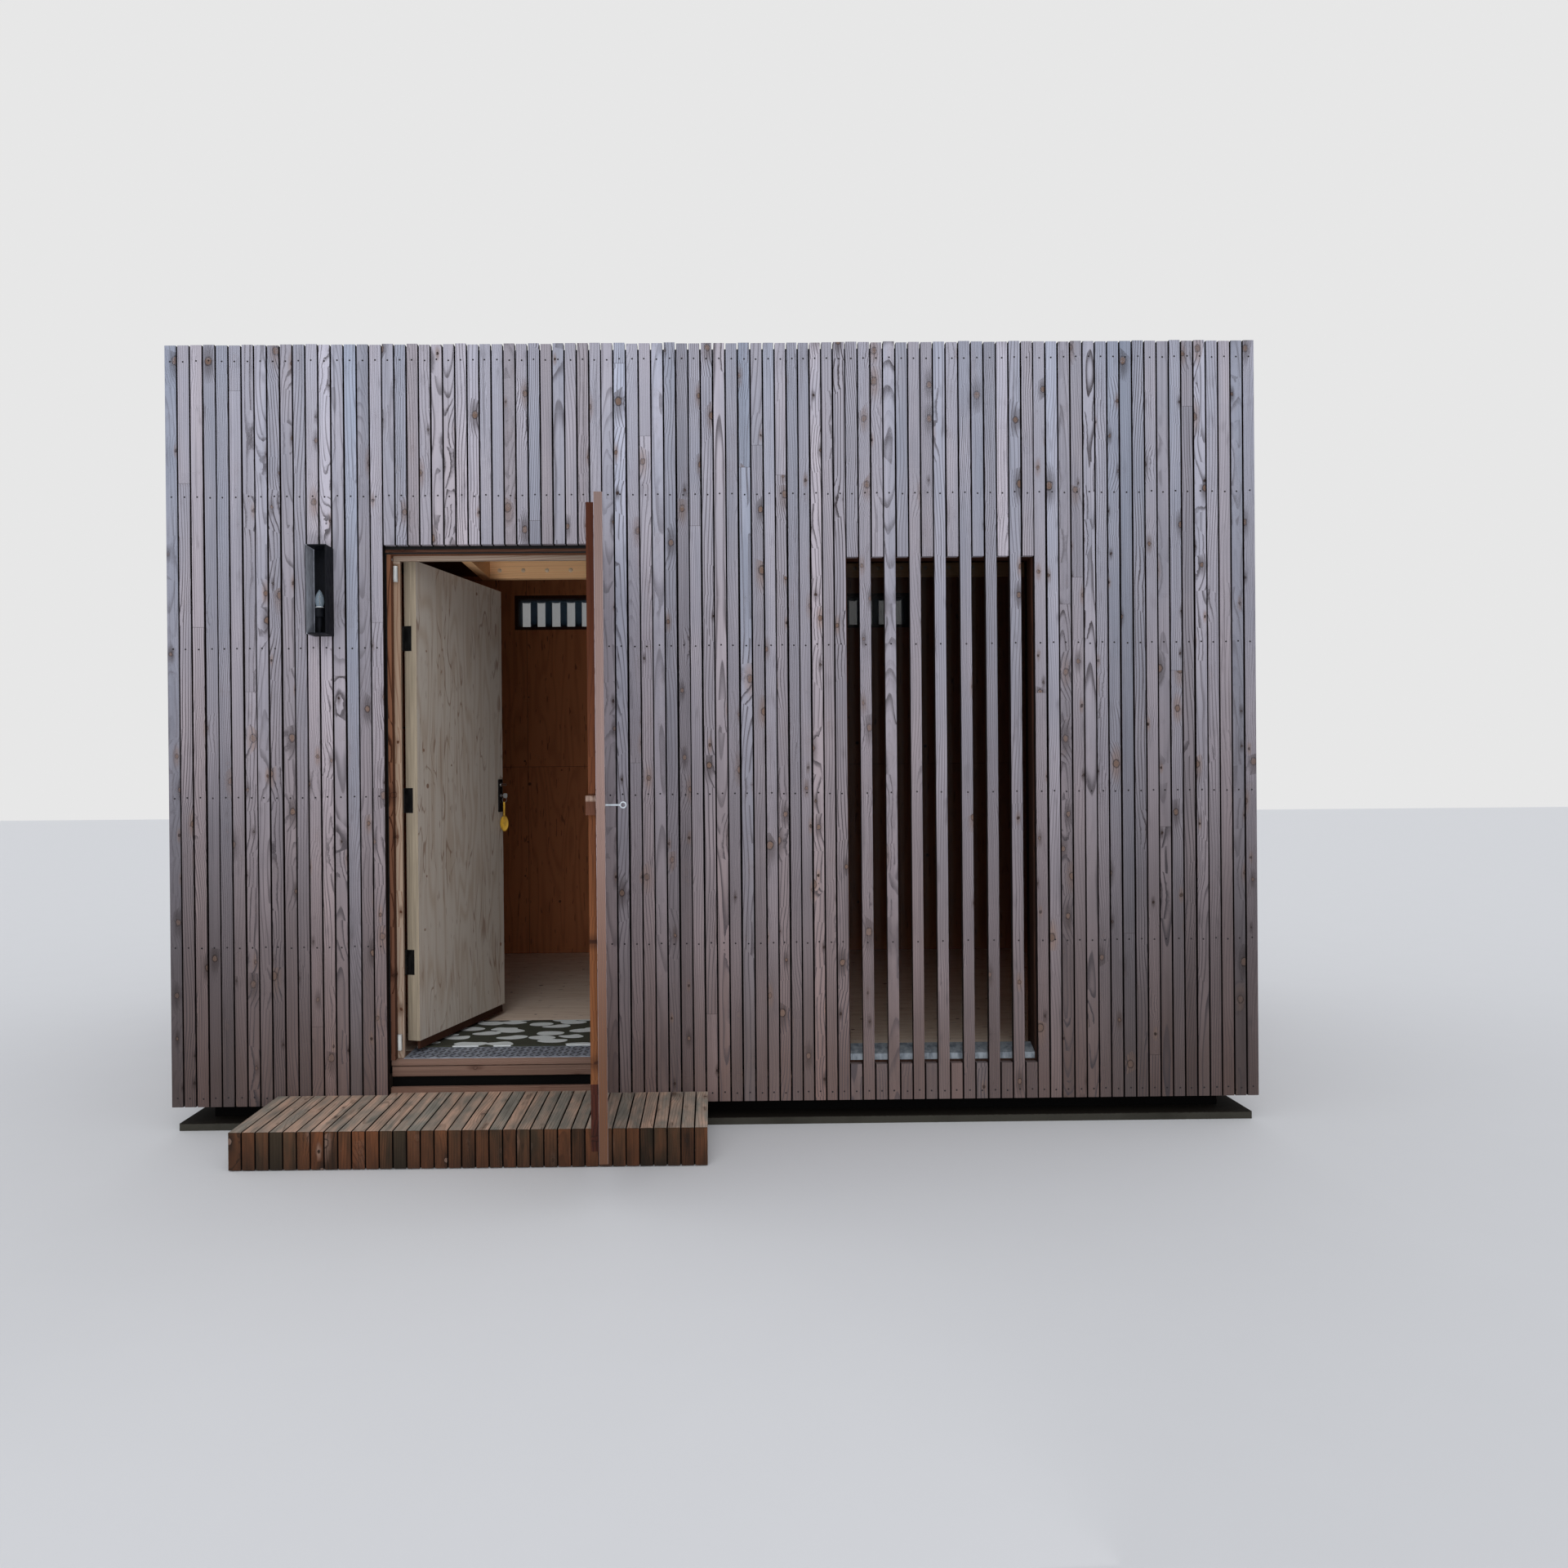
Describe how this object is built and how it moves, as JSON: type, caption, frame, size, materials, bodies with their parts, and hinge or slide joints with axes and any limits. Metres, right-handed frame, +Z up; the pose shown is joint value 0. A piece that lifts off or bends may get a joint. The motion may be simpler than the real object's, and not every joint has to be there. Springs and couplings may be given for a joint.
{
  "type": "garden office pod",
  "caption": "Flat-roofed garden office pod clad in upright battens, with a hinged clad outer door, an inner door, a slatted window and a low step.",
  "frame": {"origin": "centre of the pod's footprint at ground level, under the base slab", "axes": "+X along the front from left to right, +Y from the front into the pod, +Z up"},
  "size_m": [4.395, 3.9425, 3.167],
  "materials": {
    "ceiling_beams": "planed softwood",
    "ceiling_lining": "shaded softwood plywood",
    "cladding_front": "weathered sawn larch, silver grey with brown streaks and knots",
    "cladding_rear": "weathered sawn larch, silver grey with brown streaks and knots",
    "cladding_sides": "weathered sawn larch, silver grey with brown streaks and knots",
    "door_casing": "orange-brown oiled softwood",
    "door_catches": "off-white plastic catch",
    "door_frame": "orange-brown oiled softwood",
    "door_hinges": "black powder coat",
    "door_sill": "reddish brown oiled hardwood",
    "door_stops": "orange-brown oiled softwood",
    "floor_deck": "pale birch-faced plywood",
    "floor_frame": "black membrane round the floor frame",
    "front_wall_left": "black breather membrane over the insulated wall",
    "front_wall_middle": "black breather membrane over the insulated wall",
    "front_wall_over_door": "black breather membrane over the insulated wall",
    "front_wall_over_window": "black breather membrane over the insulated wall",
    "front_wall_right": "black breather membrane over the insulated wall",
    "ground_slab": "damp grey concrete",
    "inner_leaf": "pale birch-faced plywood",
    "inner_leaf_hinges": "black powder coat",
    "inner_leaf_lock": "black powder coat",
    "inner_leaf_seal": "dark brown brush seal",
    "outer_leaf_block": "small oiled softwood block",
    "outer_leaf_cladding": "weathered sawn larch, silver grey with brown streaks and knots",
    "outer_leaf_hinges": "black powder coat",
    "outer_leaf_kick_rail": "dark red-brown stained board",
    "outer_leaf_panel": "orange-brown oiled plywood",
    "plinth": "black painted timber plinth",
    "rear_wall": "black breather membrane over the insulated wall",
    "rear_window_frame": "oiled softwood",
    "rear_window_glass": "clear double glazing that looks dark against the room",
    "rear_window_slats": "weathered sawn larch, silver grey with brown streaks and knots",
    "ring_pull": "zinc plated steel, lightly dulled",
    "roof_deck": "softwood joists and plywood, all covered",
    "roof_kerb": "dark grey coated edge trim",
    "roof_membrane": "black rubber roof sheet",
    "side_walls": "black breather membrane over the insulated wall",
    "skirt_rails": "dark stained counter batten",
    "step_deck": "weathered brown decking boards",
    "step_fascia": "mixed brown decking boards",
    "step_joists": "dark joists under the step",
    "tread_plate": "raised-pattern tread plate, scuffed",
    "wall_light_box": "black powder coat",
    "wall_light_bulb": "clear candle bulb",
    "wall_linings": "clear-oiled softwood plywood",
    "window_flashing": "dull grey folded flashing",
    "window_frame": "orange-brown oiled softwood",
    "window_glass": "clear double glazing that looks dark against the room",
    "window_short_battens": "weathered sawn larch, silver grey with brown streaks and knots",
    "window_slats": "weathered sawn larch, silver grey with brown streaks and knots"
  },
  "bodies": {
    "pod": {"ceiling_beams": "ceiling_beams", "ceiling_lining": "ceiling_lining", "cladding_front": "cladding_front", "cladding_rear": "cladding_rear", "cladding_sides": "cladding_sides", "door_casing": "door_casing", "door_catches": "door_catches", "door_frame": "door_frame", "door_hinges": "door_hinges", "door_sill": "door_sill", "door_stops": "door_stops", "floor_deck": "floor_deck", "floor_frame": "floor_frame", "front_wall_left": "front_wall_left", "front_wall_middle": "front_wall_middle", "front_wall_over_door": "front_wall_over_door", "front_wall_over_window": "front_wall_over_window", "front_wall_right": "front_wall_right", "ground_slab": "ground_slab", "plinth": "plinth", "rear_wall": "rear_wall", "rear_window_frame": "rear_window_frame", "rear_window_glass": "rear_window_glass", "rear_window_slats": "rear_window_slats", "roof_deck": "roof_deck", "roof_kerb": "roof_kerb", "roof_membrane": "roof_membrane", "side_walls": "side_walls", "skirt_rails": "skirt_rails", "step_deck": "step_deck", "step_fascia": "step_fascia", "step_joists": "step_joists", "tread_plate": "tread_plate", "wall_light_box": "wall_light_box", "wall_light_bulb": "wall_light_bulb", "wall_linings": "wall_linings", "window_flashing": "window_flashing", "window_frame": "window_frame", "window_glass": "window_glass", "window_short_battens": "window_short_battens", "window_slats": "window_slats"},
    "outer_door": {"outer_leaf_cladding": "outer_leaf_cladding", "outer_leaf_panel": "outer_leaf_panel", "outer_leaf_kick_rail": "outer_leaf_kick_rail", "outer_leaf_block": "outer_leaf_block", "outer_leaf_hinges": "outer_leaf_hinges", "ring_pull": "ring_pull"},
    "inner_door": {"inner_leaf": "inner_leaf", "inner_leaf_seal": "inner_leaf_seal", "inner_leaf_hinges": "inner_leaf_hinges", "inner_leaf_lock": "inner_leaf_lock"}
  },
  "joints": [
    {"name": "outer_door_swing", "type": "hinge", "parent": "pod", "child": "outer_door", "pos_m": [-0.448, -1.536, 0], "axis": [0, 0, 1], "range_deg": [-96, 69]},
    {"name": "inner_door_swing", "type": "hinge", "parent": "pod", "child": "inner_door", "pos_m": [-1.2965, -1.371, 0], "axis": [0, 0, 1], "range_deg": [-75, 20]}
  ]
}
